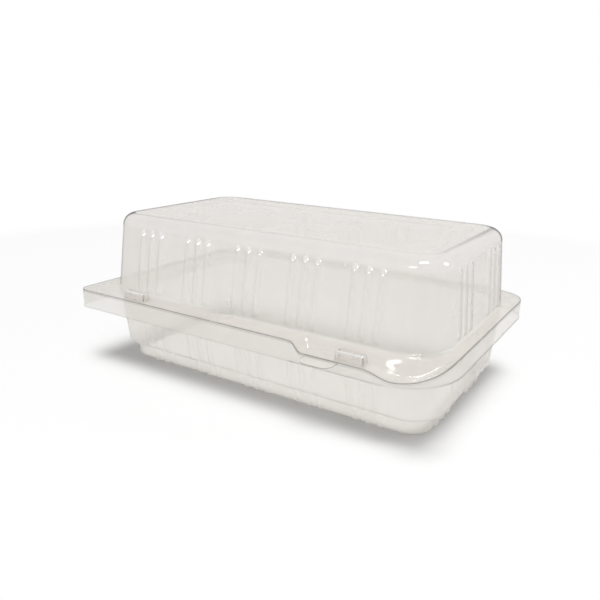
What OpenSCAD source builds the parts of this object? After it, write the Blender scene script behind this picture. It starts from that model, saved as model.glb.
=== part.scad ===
// Clear hinged food container: ribbed dome lid on a stepped tray, formed from one plastic sheet.
// The front is towards -Y, the hinge runs along the back edge, and the foot stands on Z = 0.

/* [Rim] */
// Length of the rim, end to end
rim_l = 221; // [190:1:260]
// Depth of the rim, front to back
rim_w = 143; // [120:1:170]
// Width of the flat rim at the two ends
rim_end = 6; // [4:0.5:10]
// Width of the flat rim at the front and back
rim_side = 12.5; // [10:0.5:16]
// Corner radius of the rim at the hinge side
back_corner_r = 18; // [10:1:24]
// Corner radius of the rim at the front left
front_corner_r = 6; // [4:1:20]
// Corner radius of the rim at the front right, where it is scooped for the thumb
open_corner_r = 30; // [20:1:36]
// Height of the skirt that hangs from the tray's rim
skirt_h = 9.8; // [9.4:0.1:14]

/* [Sheet] */
// Thickness of the plastic sheet
sheet = 0.4; // [0.3:0.05:0.6]
// Running gap between lid and tray
clearance = 0.3; // [0.2:0.05:0.4]
// Draft of the end walls, in degrees
end_draft = 4; // [2:0.5:8]
// Draft of the long walls, in degrees
side_draft = 9; // [4:0.5:11]
// Corner radius of the mouth where both walls meet their rims
mouth_r = 22; // [18:1:28]
// Height of the slope between a rim and its wall
root_r = 1.2; // [0.8:0.1:2]

/* [Tray] */
// Height of the tray, foot to rim
tray_h = 44; // [36:0.5:60]
// Height of the narrower foot
foot_h = 10; // [8:0.5:14]
// Width of the ledge between wall and foot
foot_step = 4.5; // [3:0.5:6]
// Fall of that ledge
ledge_drop = 1.5; // [1:0.1:2.5]
// Radius of the foot's lower edge
foot_edge_r = 1.6; // [1:0.1:2.5]

/* [Lid] */
// Height of the lid above its rim's lower face
lid_h = 43; // [32:0.5:70]
// Radius of the shoulder between wall and top
shoulder_r = 7; // [4:0.5:9]
// Flat border round the recessed top panel
panel_border = 6; // [3:0.5:8]
// Depth of the recessed top panel
panel_drop = 1.2; // [0.8:0.1:2]

/* [Ribs] */
// Width of a rib at the wall
rib_w = 4; // [3:0.1:5]
// Height of a rib above the wall
rib_h = 1.2; // [0.8:0.1:1.6]
// Distance between the ribs of a group on the long walls
side_rib_pitch = 7; // [6:0.1:9]
// Distance between the groups on the long walls
side_group_pitch = 33.5; // [28:0.5:36]
// Distance between the ribs of a group on the end walls
end_rib_pitch = 8; // [6:0.1:9]
// Distance between the two groups on an end wall
end_group_pitch = 45; // [30:0.5:48]

/* [Closure] */
// Distance of each snap button from the middle
button_x = 67; // [55:1:72]
// Distance of a snap button's middle from the rim's front edge
button_inset = 4.7; // [4:0.1:5.5]
// Length of a snap button
button_l = 15; // [10:0.5:20]
// Width of a snap button
button_w = 5; // [4.5:0.1:6]
// Height of a snap button above the lid's rim
button_h = 4.5; // [3:0.1:6]
// Where the rim's scoop starts, from the middle
scoop_x = 37; // [25:1:45]
// Length of the step at the scoop's start
scoop_ramp = 6; // [4:0.5:12]
// Depth of the scoop along the front
scoop_step = 4.9; // [2:0.1:6]
// Depth of the scoop at the front right corner
scoop_depth = 8.4; // [6:0.1:8.6]
// Middle of the tray's pull tab, from the middle of the rim
tab_x = 54; // [50:1:58]
// Width of the tray's pull tab
tab_w = 17; // [12:1:20]
// Reach of the tray's pull tab past the rim's front edge
tab_reach = 8; // [5:0.5:12]
// Corner radius of the tab
tab_r = 5; // [3:0.5:6]

/* [Hinge] */
// Outer radius of the hinge bead
bead_r = 1.8; // [1.4:0.1:2.5]
// Straight rim left free between the bead and each back corner
bead_end = 6; // [2:1:20]

/* [Hidden] */
pet_clear = [0.89, 0.88, 0.85, 0.4];

corner_steps = 8;
button_steps = 2;
rim_fn = 40;
scoop_steps = 10;
rib_fn = 8;
rim_overlap = 0.1;
shoulder_step = 30;

mouth_half_l = rim_l / 2 - rim_end;
mouth_half_w = rim_w / 2 - rim_side;
front_y = -rim_w / 2;
lid_z = tray_h + clearance;

// How far a 45 degree bend moves between the two faces of the sheet
bend_shift = tan(22.5);
// The same for the bend between the tray's wall and its ledge
ledge_shift = tan(atan(foot_step / ledge_drop) / 2);

// A rib is part of a round bar, sunk into the wall
rib_r = (rib_w * rib_w / 4 + rib_h * rib_h) / (2 * rib_h);
rib_sink = rib_r - rib_h;
rib_tip = 2;
root_h = sheet + root_r;

lid_wall_h = lid_h - shoulder_r;
tray_wall_h = tray_h - foot_h;
foot_top_h = tray_wall_h + ledge_drop;
foot_low_h = tray_h - foot_edge_r;
foot_inset = root_r + foot_step;
lid_run = lid_wall_h - root_h;
tray_run = tray_wall_h - root_h;
foot_run = foot_low_h - foot_top_h;

button_y = front_y + button_inset;
button_corner_r = 0.8;
button_taper = 0.5;
deep_x = button_x + (button_l + button_taper) / 2;
// Share of the rim's width that slopes down into the scoop, clear of the button
scoop_share = (rim_side - button_inset - button_w / 2 - clearance) / rim_side;

bead_centre = 0.86 * bead_r;
bead_l = rim_l - 2 * (back_corner_r + bead_end);
hinge_y = rim_w / 2 + bead_centre;
hinge_z = tray_h + clearance / 2;

// Rounded corner c of a rectangle, counter-clockwise from the back right
function corner(c, half_l, half_w, r, steps) = [
    for (k = [0:steps])
        let (
            a = 90 * (c + k / steps),
            side_x = (c == 0 || c == 3) ? 1 : -1,
            side_y = c < 2 ? 1 : -1
        )
        [side_x * (half_l - r) + r * cos(a), side_y * (half_w - r) + r * sin(a)]
];

// Rounded rectangle at height z
function ring(half_l, half_w, r, z, steps) = [
    for (c = [0:3], p = corner(c, half_l, half_w, r, steps))
        [p[0], p[1], z]
];

// Ring of the mouth at distance h from the rim, inset, with the wall drafted over a height of run
function mouth_ring(h, inset, run) =
    ring(
        mouth_half_l - inset - run * tan(end_draft),
        mouth_half_w - inset - run * tan(side_draft),
        mouth_r - inset - run * tan((end_draft + side_draft) / 2),
        h, corner_steps
    );

// Profiles are [distance from the rim, inset, drafted height]
// t is 0 for the outer face and the sheet's thickness for the inner
function root_profile(t) = [
    [t > 0 ? -1 : 0, t * bend_shift, 0],
    [sheet - t, t * bend_shift, 0],
    [root_h - t * bend_shift, root_r + t, 0]
];

// Quarter round from a wall to a flat at distance h
function edge_profile(h, inset, run, r, t, step) = [
    for (a = [0:step:90])
        [h - r + (r - t) * sin(a), inset + r - (r - t) * cos(a), run]
];

function lid_profile(t) = concat(
    root_profile(t),
    edge_profile(lid_h, root_r, lid_run, shoulder_r, t, shoulder_step)
);

function tray_profile(t) = concat(
    root_profile(t),
    [[tray_wall_h - t * ledge_shift, root_r + t, tray_run]],
    [[foot_top_h - t * ledge_shift, foot_inset + t, tray_run]],
    edge_profile(tray_h, foot_inset, tray_run + foot_run, foot_edge_r, t, 45)
);

// Closed solid through a stack of rings
module loft(rings) {
    n = len(rings[0]);
    top = len(rings) - 1;
    sides = [
        for (j = [0:top - 1], i = [0:n - 1])
            let (next = (i + 1) % n)
            [j * n + i, (j + 1) * n + i, (j + 1) * n + next, j * n + next]
    ];
    polyhedron(
        points = [for (r = rings) each r],
        faces = concat(
            [[for (i = [0:n - 1]) i]],
            sides,
            [[for (i = [n - 1:-1:0]) top * n + i]]
        ),
        convexity = 4
    );
}

module tub(profile) {
    loft([for (p = profile) mouth_ring(p[0], p[1], p[2])]);
}

// Upright rib on the front wall at x, from distance h0 to h1, narrowed over the last tip_l
module rib(x, wall_y, draft, h0, h1, tip_l, t) {
    bar_l = (h1 - h0) / cos(draft) - t;
    translate([x, -wall_y + rib_sink, h0])
        rotate([-draft, 0, 0])
            hull() {
                translate([0, 0, t])
                    cylinder(r = rib_r - t, h = bar_l - t - tip_l, $fn = rib_fn);
                translate([0, 0, bar_l - 1])
                    cylinder(r = rib_r - t - tip_l / 2, h = 1, $fn = rib_fn);
            }
}

// All ribs of one wall band, which has its inset and drafted height at h0
module rib_band(h0, h1, inset, run, tip_l, t) {
    side_y = mouth_half_w - inset - run * tan(side_draft);
    end_x = mouth_half_l - inset - run * tan(end_draft);
    for (turn = [0, 180]) {
        rotate([0, 0, turn])
            for (g = [-2:2], k = [-1:1])
                rib(g * side_group_pitch + k * side_rib_pitch, side_y, side_draft, h0, h1, tip_l, t);
        rotate([0, 0, turn + 90])
            for (g = [-0.5, 0.5], k = [-1:1])
                rib(g * end_group_pitch + k * end_rib_pitch, end_x, end_draft, h0, h1, tip_l, t);
    }
}

module wall_ribs(h1, t) {
    rib_band(root_h, h1, root_r, 0, rib_tip, t);
}

module foot_ribs(t) {
    rib_band(foot_top_h, foot_low_h, foot_inset, tray_run, 0, t);
}

// Smooth step from 0 at a to 1 at b
function ease(v, a, b) =
    let (u = min(max((v - a) / (b - a), 0), 1))
    u * u * (3 - 2 * u);

// Points round a rim outline, with the front edge divided along the scoop
function outline(half_l, half_w, radii) =
    let (scoop_end = half_l - radii[3])
    concat(
        [for (c = [0:2]) each corner(c, half_l, half_w, radii[c], corner_steps)],
        [for (k = [0:scoop_steps - 1]) [scoop_x + (scoop_end - scoop_x) * k / scoop_steps, -half_w]],
        corner(3, half_l, half_w, radii[3], corner_steps)
    );

// How far the rim is lowered at a point of its outer edge
function scoop(p) =
    let (
        front = scoop_step * ease(p[0], scoop_x, scoop_x + scoop_ramp),
        deep = (scoop_depth - scoop_step) * ease(p[0], deep_x, deep_x + open_corner_r / 2)
    )
    (front + deep) * (1 - ease(p[1], front_y, front_y + open_corner_r));

// Ring across the rim, from 0 at the mouth to 1 at the edge, drawn in by inset and lowered by the scoop
function rim_ring(across, inset, z) =
    let (
        inner = outline(mouth_half_l, mouth_half_w, [for (c = [0:3]) mouth_r]),
        radii = [back_corner_r, back_corner_r, front_corner_r, open_corner_r],
        edge = outline(rim_l / 2, rim_w / 2, radii),
        rim = outline(rim_l / 2 - inset, rim_w / 2 - inset, [for (r = radii) r - inset])
    )
    [
        for (i = [0:len(rim) - 1])
            let (xy = inner[i] + (rim[i] - inner[i]) * across)
            [xy[0], xy[1], z - scoop(edge[i]) * min(max(across / scoop_share, 0), 1)]
    ];

// Skirt's lower edge, level all round
function skirt_ring(inset) = [for (p = rim_ring(1, inset, 0)) [p[0], p[1], tray_h - skirt_h]];

// Closed band through rings that lead outwards and then back to the first
// Both halves are split along the same diagonals, so that stacked rims keep their gap
module band(rings) {
    n = len(rings[0]);
    m = len(rings);
    polyhedron(
        points = [for (r = rings) each r],
        faces = [
            for (j = [0:m - 1], i = [0:n - 1])
                let (
                    up = (j + 1) % m * n,
                    next = (i + 1) % n,
                    quad = [j * n + i, up + i, up + next, j * n + next],
                    first = j < m / 2 ? 0 : 1
                )
                each [
                    for (k = [first, first + 2])
                        [quad[k], quad[(k + 1) % 4], quad[(k + 2) % 4]]
                ]
        ],
        convexity = 6
    );
}

// Flat rim of one sheet with its upper face at z
module rim_plate(z) {
    band([
        rim_ring(-rim_overlap, 0, z - sheet),
        rim_ring(0, 0, z - sheet),
        rim_ring(scoop_share, 0, z - sheet),
        rim_ring(1, 0, z - sheet),
        rim_ring(1, 0, z),
        rim_ring(scoop_share, 0, z),
        rim_ring(0, 0, z),
        rim_ring(-rim_overlap, 0, z)
    ]);
}

// Turned-down edge of the tray's rim, left out along the hinge
module skirt() {
    free_l = bead_l + 2 * bead_end;
    difference() {
        band([
            rim_ring(1, sheet, tray_h - sheet / 2),
            skirt_ring(sheet),
            skirt_ring(0),
            rim_ring(1, 0, tray_h - sheet / 2)
        ]);
        translate([-free_l / 2, 0, tray_h - skirt_h - 1])
            cube([free_l, rim_w, skirt_h + 1 - sheet]);
    }
}

// Pull tab of the tray, level with the scooped rim
module tab() {
    translate([0, 0, tray_h - scoop_step - sheet])
        linear_extrude(sheet)
            hull() {
                for (side = [-1, 1])
                    translate([tab_x + side * (tab_w / 2 - tab_r), front_y - tab_reach + tab_r])
                        circle(r = tab_r, $fn = rib_fn * 3);
                translate([tab_x - tab_w / 2, front_y])
                    square([tab_w, 1]);
            }
}

// Drafted block with rounded upright edges
module block(l, w, h) {
    loft([
        ring(l / 2, w / 2, button_corner_r, 0, button_steps),
        ring(l / 2 - button_taper, w / 2 - button_taper, button_corner_r, h, button_steps)
    ]);
}

// Both snap buttons between z0 and z1, drawn in by inset; the right one sits in the scoop
module buttons(inset, z0, z1) {
    for (side = [-1, 1])
        translate([side * button_x, button_y, z0 - (side > 0 ? scoop_step : 0)])
            block(button_l - 2 * inset, button_w - 2 * inset, z1 - z0);
}

module base_tray() {
    lid_button_top = lid_z + sheet + button_h;
    boss_inset = sheet + clearance;
    boss_top = lid_button_top - boss_inset;
    color(pet_clear)
        difference() {
            union() {
                translate([0, 0, tray_h])
                    mirror([0, 0, 1]) {
                        tub(tray_profile(0));
                        wall_ribs(tray_wall_h, 0);
                        foot_ribs(0);
                    }
                rim_plate(tray_h);
                skirt();
                tab();
                buttons(boss_inset, tray_h - sheet, boss_top);
            }
            translate([0, 0, tray_h])
                mirror([0, 0, 1]) {
                    tub(tray_profile(sheet));
                    wall_ribs(tray_wall_h, sheet);
                    foot_ribs(sheet);
                }
            buttons(boss_inset + sheet, tray_h - sheet - 1, boss_top - sheet);
        }
}

// Recessed panel in the lid's top, widened by t for the inner face
module top_panel(t) {
    inset = root_r + shoulder_r + panel_border - t * bend_shift;
    loft([
        mouth_ring(lid_h - panel_drop - t, inset + panel_drop, lid_run),
        mouth_ring(lid_h + 1, inset - 1, lid_run)
    ]);
}

module lid() {
    button_top = lid_z + sheet + button_h;
    color(pet_clear)
        difference() {
            union() {
                translate([0, 0, lid_z]) {
                    tub(lid_profile(0));
                    wall_ribs(lid_wall_h, 0);
                }
                rim_plate(lid_z + sheet);
                buttons(0, lid_z, button_top);
            }
            translate([0, 0, lid_z]) {
                difference() {
                    union() {
                        tub(lid_profile(sheet));
                        wall_ribs(lid_wall_h, sheet);
                    }
                    top_panel(sheet);
                }
                top_panel(0);
            }
            buttons(sheet, lid_z - 1, button_top - sheet);
        }
}

// Formed bead, open towards the rims, which it joins along the back edge
module living_hinge() {
    color(pet_clear)
        translate([0, hinge_y, hinge_z])
            difference() {
                rotate([0, 90, 0])
                    difference() {
                        cylinder(r = bead_r, h = bead_l, center = true, $fn = rim_fn);
                        cylinder(r = bead_r - sheet, h = bead_l + 2, center = true, $fn = rim_fn);
                    }
                translate([-bead_l / 2 - 1, -2 * bead_r - bead_centre, -bead_r])
                    cube([bead_l + 2, 2 * bead_r, 2 * bead_r]);
                translate([-bead_l / 2 - 1, -bead_r, -clearance / 2])
                    cube([bead_l + 2, bead_r, clearance]);
            }
}

base_tray();
lid();
living_hinge();
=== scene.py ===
import bmesh
import bpy
import math
from mathutils import Matrix, Vector


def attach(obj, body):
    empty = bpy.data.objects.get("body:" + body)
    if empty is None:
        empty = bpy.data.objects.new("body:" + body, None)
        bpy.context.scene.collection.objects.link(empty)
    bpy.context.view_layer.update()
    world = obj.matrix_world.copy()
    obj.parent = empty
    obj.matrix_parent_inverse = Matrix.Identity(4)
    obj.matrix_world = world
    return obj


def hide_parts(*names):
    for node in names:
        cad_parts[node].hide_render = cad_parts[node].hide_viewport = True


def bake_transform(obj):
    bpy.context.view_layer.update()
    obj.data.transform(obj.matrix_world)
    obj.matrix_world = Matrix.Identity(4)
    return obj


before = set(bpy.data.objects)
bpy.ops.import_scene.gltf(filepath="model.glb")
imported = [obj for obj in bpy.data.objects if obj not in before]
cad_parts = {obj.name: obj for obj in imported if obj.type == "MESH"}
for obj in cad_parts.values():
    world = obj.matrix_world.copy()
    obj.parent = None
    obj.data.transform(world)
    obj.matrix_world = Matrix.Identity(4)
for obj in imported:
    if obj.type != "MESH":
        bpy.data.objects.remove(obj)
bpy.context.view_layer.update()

bpy.ops.object.select_all(action="DESELECT")

perMetre = 1000  # the container's sizes are in millimetres

# Main sizes of the container, the same as in the part's source
container = {
    "rimLength": 221.0,
    "rimDepth": 143.0,
    "rimEnd": 6.0,
    "rimSide": 12.5,
    "rimCorners": (18.0, 18.0, 6.0, 30.0),  # back right, back left, front left, front right
    "mouthRadius": 22.0,
    "leastRadius": 2.5,
    "endDraft": 4.0,
    "sideDraft": 9.0,
    "sheet": 0.4,
    "clearance": 0.3,
    "rootHeight": 1.6,
    "rootInset": 1.2,
    "rootFillet": 1.5,
    "filletSteps": 5,
    "trayHeight": 44.0,
    "lidHeight": 43.0,
    "smoothAngle": 40.0,
}
ribs = {
    "width": 4.6,  # foot to foot, with its fillets
    "height": 1.2,
    "sideGroups": (-67.0, -33.5, 0.0, 33.5, 67.0),
    "sidePitch": 7.0,
    "endGroups": (-22.5, 22.5),
    "endPitch": 8.0,
    "endRibShade": 0.95,  # end ribs get a stronger bend mark, painted shade that shows them as darker lines
    "pointsAcross": 10,
}
scoop = {
    "start": 37.0,
    "ramp": 6.0,
    "step": 4.9,
    "depth": 8.4,
    "deepStart": 74.75,
    "deepLength": 15.0,
    "slopeShare": 0.42,
}

halfSheet = container["sheet"] / 2
rimHalfLength = container["rimLength"] / 2
rimHalfDepth = container["rimDepth"] / 2
mouthHalfLength = rimHalfLength - container["rimEnd"]
mouthHalfDepth = rimHalfDepth - container["rimSide"]
endSlope = math.tan(math.radians(container["endDraft"]))
sideSlope = math.tan(math.radians(container["sideDraft"]))
cornerSlope = math.tan(math.radians((container["endDraft"] + container["sideDraft"]) / 2))
trayTop = container["trayHeight"]
lidBase = trayTop + container["clearance"]
wallInset = container["rootInset"] + halfSheet


def ease(value, low, high):
    t = min(max((value - low) / (high - low), 0.0), 1.0)
    return t * t * (3 - 2 * t)


# How closely the sheets are divided round the container
spacing = {
    "cornerSteps": 18,
    "sideLimit": 80.0,  # half the straight run of a long wall
    "endLimit": 35.0,
    "cornerGap": 0.5,  # straight wall left beside each corner
    "widestGap": 3.6,  # between ribs
}


def ribCentres(groups, pitch):
    return [g + k * pitch for g in groups for k in (-1, 0, 1)]


def sidePlaces(centres, limit):
    # Close together across each rib, wide apart between the ribs
    half = ribs["width"] / 2
    steps = ribs["pointsAcross"]
    places = [-limit]
    for c in sorted(centres):
        gap = c - half - places[-1]
        fill = int(gap // spacing["widestGap"])
        places += [places[-1] + gap * (k + 1) / (fill + 1) for k in range(fill)]
        places += [c - half + 2 * half * k / steps for k in range(steps + 1)]
    gap = limit - places[-1]
    fill = int(gap // spacing["widestGap"])
    places += [places[-1] + gap * (k + 1) / (fill + 1) for k in range(fill + 1)]
    return places


def ribShare(place, centres):
    nearest = min(abs(place - c) for c in centres)
    half = ribs["width"] / 2
    return 0.5 + 0.5 * math.cos(math.pi * nearest / half) if nearest < half else 0.0


def makeStations():
    # Places round the container that every loop of both sheets shares, counter-clockwise
    s = spacing
    sideCentres = ribCentres(ribs["sideGroups"], ribs["sidePitch"])
    endCentres = ribCentres(ribs["endGroups"], ribs["endPitch"])
    sides = [(x, ribShare(x, sideCentres)) for x in sidePlaces(sideCentres, s["sideLimit"])]
    ends = [(y, ribShare(y, endCentres)) for y in sidePlaces(endCentres, s["endLimit"])]
    arc = [k / s["cornerSteps"] for k in range(s["cornerSteps"] + 1)]
    walls = (("back", sides[::-1]), ("left", ends[::-1]), ("front", sides), ("right", ends))
    made = []
    for corner, (wall, run) in enumerate(walls):
        made += [("corner", corner, t) for t in arc]
        made += [(wall, place, share) for place, share in run]
    return made


stations = makeStations()
cornerSigns = ((1, 1), (-1, 1), (-1, -1), (1, -1))
ribShares = [0.0 if kind == "corner" else share for kind, _, share in stations]
onEndRib = [kind in ("left", "right") and share > 0 for kind, _, share in stations]


def outline(halfLength, halfDepth, radii, ribHeight=0.0):
    # One closed loop through all stations, pushed out at the ribs
    taken = max(radii) + spacing["cornerGap"]
    shrinkX = min(1.0, (halfLength - taken) / spacing["sideLimit"])
    shrinkY = min(1.0, (halfDepth - taken) / spacing["endLimit"])
    points = []
    for kind, place, share in stations:
        if kind == "corner":
            r = radii[place]
            signX, signY = cornerSigns[place]
            angle = math.radians(90 * (place + share))
            x = signX * (halfLength - r) + r * math.cos(angle)
            y = signY * (halfDepth - r) + r * math.sin(angle)
            points.append((x, y))
        elif kind == "front":
            points.append((place * shrinkX, -halfDepth - ribHeight * share))
        elif kind == "back":
            points.append((place * shrinkX, halfDepth + ribHeight * share))
        elif kind == "left":
            points.append((-halfLength - ribHeight * share, place * shrinkY))
        else:
            points.append((halfLength + ribHeight * share, place * shrinkY))
    return points


def wallLoop(z, inset, run, ribHeight=0.0):
    # A loop of the wall, drawn in by its inset and by the draft over the height of run
    radius = max(container["mouthRadius"] - inset - run * cornerSlope, container["leastRadius"])
    points = outline(
        mouthHalfLength - inset - run * endSlope,
        mouthHalfDepth - inset - run * sideSlope,
        (radius,) * 4,
        ribHeight,
    )
    return [(x, y, z) for x, y in points]


def scoopDrop(x, y):
    s = scoop
    front = s["step"] * ease(x, s["start"], s["start"] + s["ramp"])
    deep = (s["depth"] - s["step"]) * ease(x, s["deepStart"], s["deepStart"] + s["deepLength"])
    return (front + deep) * (1 - ease(y, -rimHalfDepth, -rimHalfDepth + container["rimCorners"][3]))


rimEdge = outline(rimHalfLength, rimHalfDepth, container["rimCorners"])
rimDrops = [scoopDrop(x, y) for x, y in rimEdge]
mouthEdge = outline(mouthHalfLength, mouthHalfDepth, (container["mouthRadius"],) * 4)


def rimLoop(across, z, inset=halfSheet):
    # From 0 at the mouth to 1 at the outer edge, lowered where the thumb scoop is
    radii = [r - inset for r in container["rimCorners"]]
    edge = outline(rimHalfLength - inset, rimHalfDepth - inset, radii)
    share = ease(across, 0, scoop["slopeShare"])
    return [
        (mx + (ex - mx) * across, my + (ey - my) * across, z - drop * share)
        for (ex, ey), (mx, my), drop in zip(edge, mouthEdge, rimDrops)
    ]


# Marks of a loop: how bent it is, which paints bends lighter and darkens them where they turn away
# (painted light and shade), how strongly its painted shade line shows and the gloss that its ribs add
flat = (0.0, 0.0, 0.0)
bent = (1.0, 0.0, 0.0)
halfBent = (0.5, 0.0, 0.0)
lined = (1.0, 0.14, 0.0)
ribbed = (0.35, 0.0, 0.0)
ribTop = (0.35, 0.0, 0.2)
faint = (0.12, 0.0, 0.0)
bright = (0.12, 0.0, 0.5)


def writeMarks(piece, values):
    for word, numbers in values.items():
        layer = piece.data.attributes.new(word, "FLOAT", "POINT")
        layer.data.foreach_set("value", numbers)


def loftSheet(name, loops):
    # A circle with one vertex per station, extruded from loop to loop and closed with a face
    bpy.ops.object.select_all(action="DESELECT")
    bpy.ops.mesh.primitive_circle_add(vertices=len(stations), radius=mouthHalfDepth / perMetre)
    piece = bpy.context.object
    piece.name = name
    bpy.ops.object.mode_set(mode="EDIT")
    bm = bmesh.from_edit_mesh(piece.data)
    bm.verts.ensure_lookup_table()
    places = {v.index: k for k, v in enumerate(bm.verts)}
    marks = [loops[0][1]] * len(stations)
    spots = list(range(len(stations)))
    for v, p in zip(bm.verts, loops[0][0]):
        v.co = Vector(p) / perMetre
    bpy.ops.mesh.select_all(action="SELECT")
    for loop, mark in loops[1:]:
        bpy.ops.mesh.extrude_region()
        bm = bmesh.from_edit_mesh(piece.data)
        bm.verts.index_update()
        fresh = {}
        for v in [v for v in bm.verts if v.select]:
            for e in v.link_edges:
                old = e.other_vert(v).index
                if old in places:
                    fresh[v.index] = places[old]
                    v.co = Vector(loop[places[old]]) / perMetre
        marks += [mark] * len(fresh)
        spots += [fresh[i] for i in sorted(fresh)]
        places = fresh
    bpy.ops.mesh.edge_face_add()
    bpy.ops.mesh.select_all(action="SELECT")
    bpy.ops.mesh.normals_make_consistent(inside=False)
    bpy.ops.object.mode_set(mode="OBJECT")
    bends = []
    for mark, k in zip(marks, spots):
        # Painted shade: ribs on the end walls take a stronger bend mark, so they show as darker lines
        shadedRib = onEndRib[k] and mark in (ribbed, ribTop)
        bends.append(ribs["endRibShade"] if shadedRib else mark[0])
    writeMarks(piece, {
        "bend": bends,
        "line": [mark[1] for mark in marks],
        "glint": [mark[2] * ribShares[k] for mark, k in zip(marks, spots)],
    })
    return piece


def useOnly(piece):
    bpy.ops.object.select_all(action="DESELECT")
    piece.select_set(True)
    bpy.context.view_layer.objects.active = piece


def selectWhere(piece, kind, test):
    # In edit mode, only what passes the test is selected
    bpy.ops.mesh.select_mode(type=kind)
    bpy.ops.mesh.select_all(action="DESELECT")
    bm = bmesh.from_edit_mesh(piece.data)
    for part in {"VERT": bm.verts, "EDGE": bm.edges, "FACE": bm.faces}[kind]:
        part.select = test(part)
    bmesh.update_edit_mesh(piece.data)


def thicken(piece, offset=0.0):
    # Real sheet thickness, about the middle or inwards (-1), with the cut edge in the second slot
    useOnly(piece)
    solid = piece.modifiers.new("sheet", "SOLIDIFY")
    solid.thickness = container["sheet"] / perMetre
    solid.offset = offset
    solid.use_even_offset = True
    solid.use_rim = True
    solid.material_offset_rim = 1
    bpy.ops.object.modifier_apply(modifier=solid.name)


def finishPiece(piece, body):
    useOnly(piece)
    bpy.ops.object.transform_apply(location=True, rotation=True, scale=True)
    bpy.ops.object.shade_smooth_by_angle(angle=math.radians(container["smoothAngle"]))
    if body:
        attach(piece, body)
    print("made", piece.name, len(piece.data.polygons), "faces")


# Shader maths on sockets
class Sock:
    def __init__(self, tree, socket=None):
        self.tree = tree
        self.socket = socket

    def add(self, kind, settings=None, sockets=None, out=0):
        node = self.tree.nodes.new(kind)
        for key, value in (settings or {}).items():
            setattr(node, key, value)
        for key, value in (sockets or {}).items():
            if isinstance(value, Sock):
                self.tree.links.new(value.socket, node.inputs[key])
            else:
                node.inputs[key].default_value = value
        return Sock(self.tree, node.outputs[out])

    def maths(self, operation, *values):
        return self.add("ShaderNodeMath", {"operation": operation}, dict(enumerate(values)))

    def __add__(self, other):
        return self.maths("ADD", self, other)

    def __radd__(self, other):
        return self.maths("ADD", other, self)

    def __sub__(self, other):
        return self.maths("SUBTRACT", self, other)

    def __rsub__(self, other):
        return self.maths("SUBTRACT", other, self)

    def __mul__(self, other):
        return self.maths("MULTIPLY", self, other)

    def __rmul__(self, other):
        return self.maths("MULTIPLY", other, self)

    def __pow__(self, other):
        return self.maths("POWER", self, other)

    def __rpow__(self, other):
        return self.maths("POWER", other, self)


pureWhite = (1, 1, 1, 1)


def newMaterial(name):
    material = bpy.data.materials.new(name)
    material.use_nodes = True
    material.node_tree.nodes.clear()
    return material, Sock(material.node_tree)


def plugIn(start, shader, kind="ShaderNodeOutputMaterial"):
    output = start.tree.nodes.new(kind)
    start.tree.links.new(shader.socket, output.inputs["Surface"])


def addNoise(start, place, scale, detail):
    return start.add("ShaderNodeTexNoise", None, {"Vector": place, "Scale": scale, "Detail": detail})


def mixTones(start, factor, first, second):
    sockets = {"Factor": factor, "A": first, "B": second}
    return start.add("ShaderNodeMix", {"data_type": "RGBA"}, sockets, out=2)  # the colour


def mixShaders(start, factor, first, second):
    return start.add("ShaderNodeMixShader", None, {0: factor, 1: first, 2: second})


def fadeBetween(start, value, low, high):
    # Rises smoothly from 0 at low to 1 at high
    sockets = {0: value, 1: low, 2: high}
    return start.add("ShaderNodeMapRange", {"interpolation_type": "SMOOTHSTEP"}, sockets)


clearSheet = {
    "tint": (0.99, 0.988, 0.985, 1),
    # dark colour of the painted shade where a bend turns away
    "turnShade": (0.2, 0.195, 0.19, 1),
    "turnShadeShare": 0.9,
    "turnShadeFrom": 0.7,
    "turnShadeTo": 0.9,
    "facingBlend": 0.5,
    "lidHaze": ((0.77, 0.742, 0.71, 1), (0.82, 0.792, 0.76, 1)),  # deep and light
    # the tray's haze is painted lighter than the lid's: painted light making up for the shade the lid
    # casts on the tray
    "trayLitHaze": ((0.93, 0.905, 0.87, 1), (0.975, 0.955, 0.92, 1)),
    "hazeShare": 0.3,
    "hazeSpread": (0.75, 0.5),  # least, and what the cloud adds
    "hazeRough": (0.4, 0.2),
    "hazeSpecular": 0.1,
    "buttonShare": 0.05,
    # lighter tone on bends: painted light, as on the lit shoulder and rib flanks
    "bendLight": (0.97, 0.955, 0.94, 1),
    "bendLightShare": 0.7,
    "through": (0.965, 0.948, 0.92, 1),
    "throughShare": 0.55,
    "cloudScale": 22.0,
    "cloudDetail": 3.0,
    "rippleScale": 70.0,
    "rippleDetail": 2.0,
    "rippleStrength": 0.5,
    "rippleHeight": 0.00025,
    # dark tone of the painted shade lines
    "edgeShadeTone": (0.15, 0.145, 0.14, 1),
    "lineRough": (0.3, 0.2),
    "glossRough": 0.07,
    "glossFront": 0.04,
    "glossGrazing": 0.15,
    "grazingPower": 5.0,
}
# Cut edges of the sheets: painted dark, as shade along a clear sheet's edge
cutEdge = {
    "tone": (0.14, 0.135, 0.13, 1),
    "toneLight": (0.30, 0.29, 0.28, 1),
    "rough": (0.25, 0.2),
    "lidShare": 0.55,
    "trayShare": 0.45,
    "grainScale": 300.0,
    "grainDetail": 2.0,
}


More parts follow.
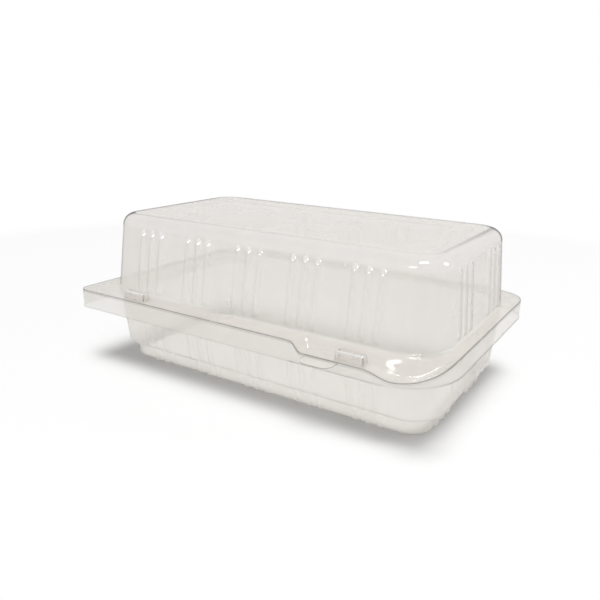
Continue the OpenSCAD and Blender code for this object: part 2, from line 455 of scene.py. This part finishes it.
def makeClearSheet(name, share, deep, light):
    s = clearSheet
    material, start = newMaterial(name)
    place = start.add("ShaderNodeTexCoord", out="Object")
    cloud = addNoise(start, place, s["cloudScale"], s["cloudDetail"])
    ripple = addNoise(start, place, s["rippleScale"], s["rippleDetail"])
    bump = start.add(
        "ShaderNodeBump",
        None,
        {"Height": ripple, "Strength": s["rippleStrength"], "Distance": s["rippleHeight"]},
    )
    bend, line, glint = (
        start.add("ShaderNodeAttribute", {"attribute_name": word}, out="Fac")
        for word in ("bend", "line", "glint")
    )
    facing = start.add("ShaderNodeLayerWeight", None, {"Blend": s["facingBlend"]}, out="Facing")
    turned = fadeBetween(start, facing, s["turnShadeFrom"], s["turnShadeTo"])
    # Milky haze of the formed sheet
    clear = start.add("ShaderNodeBsdfTransparent", None, {"Color": s["tint"]})
    tone = mixTones(start, cloud, deep, light)
    # Painted light: bends get a lighter tone, so the shoulder reads as lit
    tone = mixTones(start, bend * s["bendLightShare"], tone, s["bendLight"])
    least, spread = s["hazeRough"]
    haze = start.add(
        "ShaderNodeBsdfPrincipled",
        None,
        {
            "Base Color": tone,
            "Roughness": least + spread * cloud,
            "Specular IOR Level": s["hazeSpecular"],
            "Normal": bump,
        },
    )
    glow = start.add("ShaderNodeBsdfTranslucent", None, {"Color": s["through"]})
    milk = mixShaders(start, s["throughShare"], haze, glow)
    least, spread = s["hazeSpread"]
    sheet = mixShaders(start, share * (least + spread * cloud), clear, milk)
    # Painted shade: a dark transparent layer where a bend turns away, drawing dark outlines along
    # bends and ribs
    turnShade = start.add("ShaderNodeBsdfTransparent", None, {"Color": s["turnShade"]})
    sheet = mixShaders(start, turned * bend * s["turnShadeShare"], sheet, turnShade)
    # Gloss of both faces
    gloss = start.add(
        "ShaderNodeBsdfPrincipled",
        None,
        {"Base Color": pureWhite, "Metallic": 1.0, "Roughness": s["glossRough"], "Normal": bump},
    )
    shine = facing ** s["grazingPower"] * s["glossGrazing"] + s["glossFront"] + glint
    sheet = mixShaders(start, shine, sheet, gloss)
    # Painted shade: a dark line along trimmed edges, bends and button ends, where a clear sheet's edge
    # shows dark
    least, spread = s["lineRough"]
    edge = start.add(
        "ShaderNodeBsdfPrincipled",
        None,
        {"Base Color": s["edgeShadeTone"], "Roughness": least + spread * cloud},
    )
    plugIn(start, mixShaders(start, line, sheet, edge))
    return material


def makeCutEdge(name, share):
    s = cutEdge
    material, start = newMaterial(name)
    place = start.add("ShaderNodeTexCoord", out="Object")
    grain = addNoise(start, place, s["grainScale"], s["grainDetail"])
    # grained dark tone of the painted shade on the cut edge
    tone = mixTones(start, grain, s["tone"], s["toneLight"])
    clear = start.add("ShaderNodeBsdfTransparent")
    least, spread = s["rough"]
    edge = start.add(
        "ShaderNodeBsdfPrincipled",
        None,
        {"Base Color": tone, "Roughness": least + spread * grain},
    )
    plugIn(start, mixShaders(start, share, clear, edge))
    return material


sheetOf = {
    "cover": makeClearSheet("clearLid", clearSheet["hazeShare"], *clearSheet["lidHaze"]),
    # the tray's sheet takes the lighter haze, painted light against the lid's shade
    "base": makeClearSheet("clearTray", clearSheet["hazeShare"], *clearSheet["trayLitHaze"]),
    "button": makeClearSheet("clearButton", clearSheet["buttonShare"], *clearSheet["trayLitHaze"]),
}
edgeOf = {
    "cover": makeCutEdge("lidEdge", cutEdge["lidShare"]),
    "base": makeCutEdge("trayEdge", cutEdge["trayShare"]),
}
print("materials ready")


def dress(piece, sheet, edge):
    piece.data.materials.clear()
    piece.data.materials.append(sheetOf[sheet])
    piece.data.materials.append(edgeOf[edge])


# Shares of the rim's width at which both sheets have a loop
rimSteps = (0.9, 0.75, 0.6, 0.5, 0.45, 0.4, 0.35, 0.3, 0.25, 0.2, 0.15, 0.1, 0.06)


def filletLoops(sign, base):
    # Round bend from a rim into its wall, upwards or downwards
    r = container["rootFillet"]
    steps = container["filletSteps"]
    loops = []
    for k in range(steps + 1):
        a = math.radians(90 * k / steps)
        h = halfSheet + r * (1 - math.cos(a))
        loops.append((wallLoop(base + sign * h, wallInset - r + r * math.sin(a), 0), flat))
    return loops


def wallRib(shape, h):
    # Height of the ribs at distance h from the rim
    return ribs["height"] * ease(h, *shape["ribStart"]) * (1 - ease(h, *shape["ribEnd"]))


# Lid: rim, fillet, ribbed wall, shoulder and recessed top, as one formed sheet
lidShape = {
    "edgeLine": ((0.2, 0.55), (0.5, 0.55), (0.62, 0.0)),  # inset and strength of the painted shade line along the rim's edge
    "wallHeights": (
        2.0, 2.4, 3.0, 3.8, 5, 8, 12, 16, 20, 24, 28, 31,
        32.5, 33.2, 33.7, 34.2, 34.7, 35.2, 35.6, 36,
    ),
    "ribStart": (1.4, 3.4),
    "ribEnd": (33.0, 36.0),
    "shoulder": 7.0,
    "shoulderSteps": 10,
    "borderInsets": (9.2, 10.5, 12, 13.4),
    "panelInsets": (13.8, 14.2, 14.6, 15.0, 15.4, 15.8),
    "panelEase": 0.3,
    "panelDrop": 1.2,
    "crownInsets": (18, 22, 27, 33, 40),
    "crownSpan": (15, 40),
    "crown": 0.6,
}


def makeLid():
    s = lidShape
    wallTop = container["lidHeight"] - s["shoulder"]
    rimZ = lidBase + halfSheet
    loops = [(rimLoop(1, rimZ, inset), (0.0, line, 0.0)) for inset, line in s["edgeLine"]]
    loops += [(rimLoop(a, rimZ), flat) for a in rimSteps]
    loops += filletLoops(1, lidBase)
    for h in s["wallHeights"]:
        mark = ribTop if h > s["ribEnd"][0] else ribbed
        run = h - container["rootHeight"]
        loops.append((wallLoop(lidBase + h, wallInset, run, wallRib(s, h)), mark))
    run = wallTop - container["rootHeight"]
    r = s["shoulder"] - halfSheet
    for k in range(1, s["shoulderSteps"] + 1):
        a = math.radians(90 * k / s["shoulderSteps"])
        inset = container["rootInset"] + s["shoulder"] - r * math.cos(a)
        mark = bent if k < s["shoulderSteps"] else halfBent
        loops.append((wallLoop(lidBase + wallTop + r * math.sin(a), inset, run), mark))
    top = lidBase + container["lidHeight"] - halfSheet
    loops += [(wallLoop(top, inset, run), flat) for inset in s["borderInsets"]]
    low = s["panelInsets"][0] - s["panelEase"]
    high = s["panelInsets"][-1] + s["panelEase"]
    for inset in s["panelInsets"]:
        z = top - s["panelDrop"] * ease(inset, low, high)
        loops.append((wallLoop(z, inset, run), flat))
    panel = top - s["panelDrop"]
    for inset in s["crownInsets"]:
        z = panel + s["crown"] * ease(inset, *s["crownSpan"])
        loops.append((wallLoop(z, inset, run), flat))
    return loftSheet("lidSheet", loops)


# Tray: skirt, rim, ribbed wall, ledge, scalloped foot and floor, as one formed sheet
trayShape = {
    "skirt": 9.8,
    "skirtShares": (  # share of the skirt's height and strength of the painted shade line at its edge
        (0, 0.5), (0.035, 0.5), (0.05, 0), (0.3, 0), (0.6, 0), (0.85, 0), (1, 0),
    ),
    "plainLine": 0.14,  # share of the painted shade line left of the scoop
    "plainHeight": 1.0,  # of the band that this holds for
    "bend": 0.8,
    "bendSteps": 3,
    "hingeHalf": 92.5,  # half of the stretch without a skirt
    "hingeReach": 0.5,  # in from the rim's back edge
    "hingeBelow": 0.3,  # under the middle of the rim's sheet
    "wallHeights": (2.0, 2.4, 3.0, 3.8, 5, 8, 12, 16, 20, 24, 27, 29, 30.5, 31.5, 32.3, 33),
    "ribStart": (1.4, 3.4),
    "ribEnd": (31.0, 34.0),
    "ledge": (  # distance from the rim, and inset
        (33.6, 1.45), (34.0, 1.8), (34.25, 2.4), (34.7, 3.7), (35.1, 5.0), (35.35, 5.5), (35.8, 5.85),
    ),
    "wallHeight": 34.0,
    "footTop": 35.5,
    "footHeights": (36.4, 37.2, 38.4, 40, 41.4, 42.4),
    "footRibStart": (35.7, 37.4),
    "footRibFade": 0.15,  # share lost round the lower edge
    "footRibEnd": (7.3, 10.6),
    "footInset": 5.7,
    "footEdge": 1.6,
    "footEdgeSteps": 5,
    "floorInsets": (8.2, 9.2, 10.4, 11.4, 12.4, 13.6, 15, 20, 28, 36),
    "floorSpan": (10, 14),
    "floorRise": 0.9,
}


def trayLoops():
    s = trayShape
    bottom = trayTop - s["skirt"]
    rimZ = trayTop - halfSheet
    bendZ = rimZ - s["bend"]
    edge = rimLoop(1, bendZ)
    loops = []
    for t, line in s["skirtShares"]:
        loops.append(([(x, y, bottom + (z - bottom) * t) for x, y, z in edge], (0.0, line, 0.0)))
    for k in range(1, s["bendSteps"] + 1):
        a = math.radians(90 * k / s["bendSteps"])
        loop = rimLoop(1, bendZ + s["bend"] * math.sin(a), halfSheet + s["bend"] * (1 - math.cos(a)))
        # Painted shade: the bend's loops carry a faint dark line, as shade under the tray's rim
        loops.append((loop, lined if k < s["bendSteps"] else flat))
    loops += [(rimLoop(a, rimZ), flat) for a in rimSteps[1:]]  # past the bend
    loops += filletLoops(-1, trayTop)
    for h in s["wallHeights"]:
        mark = bright if h > s["ribEnd"][0] else faint
        run = h - container["rootHeight"]
        loops.append((wallLoop(trayTop - h, wallInset, run, wallRib(s, h)), mark))
    run = s["wallHeight"] - container["rootHeight"]
    loops += [(wallLoop(trayTop - h, inset, run), flat) for h, inset in s["ledge"]]
    for h in s["footHeights"]:
        rib = ribs["height"] * ease(h, *s["footRibStart"])
        inset = s["footInset"] + halfSheet
        loops.append((wallLoop(trayTop - h, inset, run + h - s["footTop"], rib), faint))
    run += s["footHeights"][-1] - s["footTop"]
    r = s["footEdge"] - halfSheet
    for k in range(1, s["footEdgeSteps"] + 1):
        a = math.radians(90 * k / s["footEdgeSteps"])
        h = container["trayHeight"] - s["footEdge"] + r * math.sin(a)
        inset = s["footInset"] + s["footEdge"] - r * math.cos(a)
        rib = ribs["height"] * (1 - s["footRibFade"] * k / s["footEdgeSteps"])
        loops.append((wallLoop(trayTop - h, inset, run, rib), faint))
    for inset in s["floorInsets"]:
        rib = (1 - s["footRibFade"]) * ribs["height"] * (1 - ease(inset, *s["footRibEnd"]))
        z = halfSheet + s["floorRise"] * ease(inset, *s["floorSpan"])
        loops.append((wallLoop(z, inset, run, rib), flat))
    return loops


def alongHinge(face):
    s = trayShape
    c = face.calc_center_median() * perMetre
    behind = c.y > rimHalfDepth - s["hingeReach"] and abs(c.x) < s["hingeHalf"]
    return behind and c.z < trayTop - halfSheet - s["hingeBelow"]


def makeTray():
    s = trayShape
    tray = loftSheet("traySheet", trayLoops())
    glints = tray.data.attributes["glint"].data
    lines = tray.data.attributes["line"].data
    plainBelow = trayTop - s["skirt"] + s["plainHeight"]
    for v in tray.data.vertices:
        if v.co.x * perMetre < scoop["start"] and v.co.z * perMetre < plainBelow:
            lines[v.index].value *= s["plainLine"]
        if v.co.y < 0:
            glints[v.index].value = 0.0  # only inside the back wall
    # The skirt is left out along the hinge
    useOnly(tray)
    bpy.ops.object.mode_set(mode="EDIT")
    selectWhere(tray, "FACE", alongHinge)
    bpy.ops.mesh.delete(type="FACE")
    bpy.ops.object.mode_set(mode="OBJECT")
    return tray


# Snap buttons: hollow drafted blocks on the lid, each over a boss on the tray
buttonShape = {
    "x": 67.0,
    "y": -66.8,
    "length": 15.0,
    "width": 5.0,
    "height": 4.9,
    "taper": 0.5,
    "round": 0.7,
    "roundSteps": 4,
    "bossInset": 0.7,
    "level": 0.9,  # a face's normal past this is level
    "rounded": 0.93,  # a corner's normal under this is on a rounded edge
    "upright": 0.4,  # and on an upright edge where it rises less than this
    # strengths of the painted shade lines on the rounded edges of button and boss
    "edgeLine": 0.3,
    "bossLine": 0.05,
    "upperLine": 0.3,  # share of the painted shade line on the upper edges
    "glint": 0.5,
}


def makeButton(name, x, inset, low, high, line):
    s = buttonShape
    bpy.ops.object.select_all(action="DESELECT")
    size = Vector((s["length"] - 2 * inset, s["width"] - 2 * inset, high - low))
    middle = Vector((x, s["y"], (low + high) / 2))
    bpy.ops.mesh.primitive_cube_add(size=1, location=middle / perMetre, scale=size / perMetre)
    piece = bpy.context.object
    piece.name = name
    bpy.ops.object.transform_apply(location=False, rotation=False, scale=True)
    bpy.ops.object.mode_set(mode="EDIT")
    selectWhere(piece, "FACE", lambda f: f.normal.z > s["level"])
    bpy.ops.transform.resize(value=(1 - 2 * s["taper"] / size.x, 1 - 2 * s["taper"] / size.y, 1))
    selectWhere(piece, "FACE", lambda f: f.normal.z < -s["level"])
    bpy.ops.mesh.delete(type="FACE")
    selectWhere(piece, "EDGE", lambda e: len(e.link_faces) == 2)
    bpy.ops.mesh.bevel(offset=s["round"] / perMetre, segments=s["roundSteps"], affect="EDGES")
    bpy.ops.object.mode_set(mode="OBJECT")
    # Painted shade: upright rounded edges get dark lines, as the buttons' shaded ends; the upper ones
    # shine
    lines, glints = [], []
    for v in piece.data.vertices:
        rounded = max(map(abs, v.normal)) < s["rounded"]
        upper = rounded and v.normal.z >= s["upright"]
        share = s["upperLine"] if upper else float(rounded)
        lines.append(line * share)
        glints.append(s["glint"] if upper else 0.0)
    writeMarks(piece, {"line": lines, "glint": glints})
    return piece


def makeButtons():
    s = buttonShape
    made = []
    for word, side, drop in (("Left", -1, 0.0), ("Right", 1, scoop["step"])):
        low = lidBase - drop
        high = low + s["height"]
        button = makeButton("snapButton" + word, side * s["x"], 0, low, high, s["edgeLine"])
        boss = makeButton(
            "snapBoss" + word,
            side * s["x"],
            s["bossInset"],
            trayTop - container["sheet"] - drop,
            high - s["bossInset"],
            s["bossLine"],
        )
        made.append((button, boss))
    return made


# Pull tab of the tray, level with the scooped rim
tabShape = {"x": 54.0, "width": 17.0, "reach": 8.0, "overlap": 1.0, "corner": 5.0, "cornerSteps": 8}


def makeTab():
    s = tabShape
    bpy.ops.object.select_all(action="DESELECT")
    depth = s["reach"] + s["overlap"]
    y = -rimHalfDepth + s["overlap"] - depth / 2
    middle = Vector((s["x"], y, trayTop - scoop["step"] - halfSheet))
    bpy.ops.mesh.primitive_plane_add(size=1, location=middle / perMetre)
    piece = bpy.context.object
    piece.name = "pullTab"
    piece.scale = (s["width"] / perMetre, depth / perMetre, 1)
    bpy.ops.object.transform_apply(location=False, rotation=False, scale=True)
    bpy.ops.object.mode_set(mode="EDIT")
    selectWhere(piece, "VERT", lambda v: v.co.y < 0)
    bpy.ops.mesh.bevel(offset=s["corner"] / perMetre, segments=s["cornerSteps"], affect="VERTICES")
    bpy.ops.object.mode_set(mode="OBJECT")
    return piece


# Hinge bead along the back, open towards the two rims
hingeShape = {
    "radius": 1.8,
    "centre": 1.548,
    "length": 173.0,
    "segments": 48,
    "bands": 24,
    "opening": 0.1,  # the bead starts this far behind the rims
    "turn": 0.92,  # half the height over which it bends
}
hingeY = rimHalfDepth + hingeShape["centre"]
hingeZ = trayTop + container["clearance"] / 2


def makeHinge():
    s = hingeShape
    bpy.ops.object.select_all(action="DESELECT")
    bpy.ops.mesh.primitive_circle_add(
        vertices=s["segments"],
        radius=(s["radius"] - halfSheet) / perMetre,
        location=Vector((-s["length"] / 2, hingeY, hingeZ)) / perMetre,
        rotation=(0, math.radians(90), 0),
    )
    piece = bpy.context.object
    piece.name = "hingeBead"
    bpy.ops.object.transform_apply(location=True, rotation=True, scale=True)
    bpy.ops.object.mode_set(mode="EDIT")
    selectWhere(piece, "VERT", lambda v: v.co.y * perMetre < rimHalfDepth + s["opening"])
    bpy.ops.mesh.delete(type="VERT")
    bpy.ops.mesh.select_all(action="SELECT")
    step = s["length"] / s["bands"] / perMetre
    for _ in range(s["bands"]):
        bpy.ops.mesh.extrude_region_move(TRANSFORM_OT_translate={"value": (step, 0, 0)})
    bpy.ops.mesh.select_all(action="SELECT")
    bpy.ops.mesh.normals_make_consistent(inside=False)
    bpy.ops.object.mode_set(mode="OBJECT")
    return piece


lid = makeLid()
tray = makeTray()
print("sheets lofted through", len(stations), "stations")
for piece, body, node in ((lid, "cover", "lid"), (tray, "base", "base_tray")):
    dress(piece, body, body)
    thicken(piece)
    finishPiece(piece, body)
    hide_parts(node)

for button, boss in makeButtons():
    for piece, body in ((button, "cover"), (boss, "base")):
        dress(piece, "button", body)
        thicken(piece, -1.0)
        finishPiece(piece, body)

tab = makeTab()
dress(tab, "base", "cover")
thicken(tab)
finishPiece(tab, "base")

hinge = makeHinge()
dress(hinge, "base", "base")
thicken(hinge)
finishPiece(hinge, None)
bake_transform(hinge)
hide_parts("living_hinge")
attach(hinge, "base")
print("container ready")


# Camera at the photograph's angle, fitted in pixels of a 600 pixel frame
cameraFit = {
    "azimuth": 32.03,
    "elevation": 16.94,
    "roll": 1.03,
    "distance": 0.36196,
    "target": (0.00066, 0.0, 0.04145),
    "focalPixels": 617.59,
    "centre": (305.17, 296.76),
    "framePixels": 600,
    "sensor": 36,
    "nearest": 0.01,
}


def makeCamera():
    s = cameraFit
    az, el, roll = (math.radians(s[k]) for k in ("azimuth", "elevation", "roll"))
    back = Vector((math.sin(az) * math.cos(el), -math.cos(az) * math.cos(el), math.sin(el)))
    level = (-back).cross(Vector((0, 0, 1))).normalized()
    above = level.cross(-back)
    right = level * math.cos(roll) + above * math.sin(roll)
    up = above * math.cos(roll) - level * math.sin(roll)
    data = bpy.data.cameras.new("photoCamera")
    camera = bpy.data.objects.new("photoCamera", data)
    bpy.context.scene.collection.objects.link(camera)
    turned = Matrix((right, up, back)).transposed().to_4x4()
    camera.matrix_world = Matrix.Translation(Vector(s["target"]) + back * s["distance"]) @ turned
    half = s["framePixels"] / 2
    data.sensor_width = s["sensor"]
    data.lens = s["focalPixels"] / s["framePixels"] * s["sensor"]
    data.shift_x = -(s["centre"][0] - half) / s["framePixels"]
    data.shift_y = (s["centre"][1] - half) / s["framePixels"]
    data.clip_start = s["nearest"]
    bpy.context.scene.camera = camera


# White studio, in metres: a floor painted darker near the container to deepen its shadow (painted
# shade), painted white under the foot (painted light) and white further out, which cuts the shadow
# short
studio = {
    "floorSize": 12,
    "paintedShadeTone": (0.53, 0.53, 0.53, 1),
    "floorRough": 0.9,
    "farTone": (0.98, 0.98, 0.98, 1),
    "bounceTone": (0.735, 0.73, 0.725, 1),
    # box round the foot: the floor near it takes the painted shade tone
    "footCentre": (-0.004, 0.0, 0.0),
    "footHalf": (0.097, 0.051, 0.0),
    # patch under the foot painted white: painted light that lifts the shadow seen through the tray
    "underCentre": (-0.003, 0.001, 0.0),
    "underFoot": (0.084, 0.0345, 0.0),
    "underFade": (0.0065, 0.0125),
    "shadowFade": (0.0, 0.028, 0.86),  # from, to and share of white
    "farFade": (0.28, 0.55),
    "ambient": 0.55,
    "aim": (0, 0, 0.04),
    "lamps": (  # name, place, size and power
        ("topBox", (0.32, -0.3, 0.93), (0.3, 0.2), 3.5),
        ("sideBox", (0.9, 0.45, 0.6), (0.2, 0.3), 2.0),
        ("frontBox", (0.05, -0.85, 0.5), (0.36, 0.16), 1.2),
    ),
    "clearBounces": 48,
}


def seenDirectly(start):
    path = start.tree.nodes.new("ShaderNodeLightPath")
    names = ("Is Camera Ray", "Is Glossy Ray", "Is Transmission Ray")
    camera, glossy, through = (Sock(start.tree, path.outputs[name]) for name in names)
    return start.maths("MAXIMUM", start.maths("MAXIMUM", camera, glossy), through)


def vectorMaths(start, operation, *values, out=0):
    return start.add("ShaderNodeVectorMath", {"operation": operation}, dict(enumerate(values)), out)


def beyondBox(start, place, centre, half):
    # How far a point of the floor lies outside a rectangle
    gap = vectorMaths(start, "SUBTRACT", place, centre)
    gap = vectorMaths(start, "ABSOLUTE", gap)
    gap = vectorMaths(start, "SUBTRACT", gap, half)
    gap = vectorMaths(start, "MAXIMUM", gap, (0, 0, 0))
    return vectorMaths(start, "LENGTH", gap, out="Value")


def makeFloor():
    s = studio
    bpy.ops.object.select_all(action="DESELECT")
    bpy.ops.mesh.primitive_plane_add(size=s["floorSize"], location=(0, 0, 0))
    floor = bpy.context.object
    floor.name = "floor"
    material, start = newMaterial("paleFloor")
    place = start.add("ShaderNodeTexCoord", out="Object")
    aside = beyondBox(start, place, s["footCentre"], s["footHalf"])
    under = beyondBox(start, place, s["underCentre"], s["underFoot"])
    far = vectorMaths(start, "LENGTH", place, out="Value")
    near, wide, share = s["shadowFade"]
    beside = fadeBetween(start, aside, near, wide)
    # Painted light: white floor under the foot, lifting the shadow there
    litUnderFoot = 1 - fadeBetween(start, under, *s["underFade"])
    beside = start.maths("MAXIMUM", beside, litUnderFoot)
    beyond = fadeBetween(start, far, *s["farFade"])
    fade = start.maths("MAXIMUM", beside * share, beyond)
    seen = seenDirectly(start)
    # Painted shade: the floor seen by the camera is darker near the container, deepening its shadow
    tone = mixTones(start, beside, s["paintedShadeTone"], s["farTone"])
    tone = mixTones(start, seen, s["bounceTone"], tone)
    matt = start.add(
        "ShaderNodeBsdfPrincipled",
        None,
        {"Base Color": tone, "Roughness": s["floorRough"], "Specular IOR Level": 0.0},
    )
    white = start.add("ShaderNodeEmission", None, {"Color": pureWhite, "Strength": 1.0})
    plugIn(start, mixShaders(start, fade * seen, matt, white))
    floor.data.materials.append(material)


def makeWorld():
    world = bpy.data.worlds.new("studioWorld")
    world.use_nodes = True
    world.node_tree.nodes.clear()
    start = Sock(world.node_tree)
    soft = start.add("ShaderNodeBackground", None, {"Color": pureWhite, "Strength": studio["ambient"]})
    white = start.add("ShaderNodeBackground", None, {"Color": pureWhite, "Strength": 1.0})
    plugIn(start, mixShaders(start, seenDirectly(start), soft, white), "ShaderNodeOutputWorld")
    bpy.context.scene.world = world


def makeLamps():
    for name, spot, size, power in studio["lamps"]:
        data = bpy.data.lights.new(name, "AREA")
        data.shape = "RECTANGLE"
        data.size, data.size_y = size
        data.energy = power
        lamp = bpy.data.objects.new(name, data)
        bpy.context.scene.collection.objects.link(lamp)
        lamp.location = spot
        towards = Vector(studio["aim"]) - Vector(spot)
        lamp.rotation_euler = towards.to_track_quat("-Z", "Y").to_euler()


makeCamera()
makeFloor()
makeWorld()
makeLamps()
scene = bpy.context.scene
scene.view_settings.view_transform = "Standard"
scene.cycles.transparent_max_bounces = studio["clearBounces"]
print("camera and studio ready")
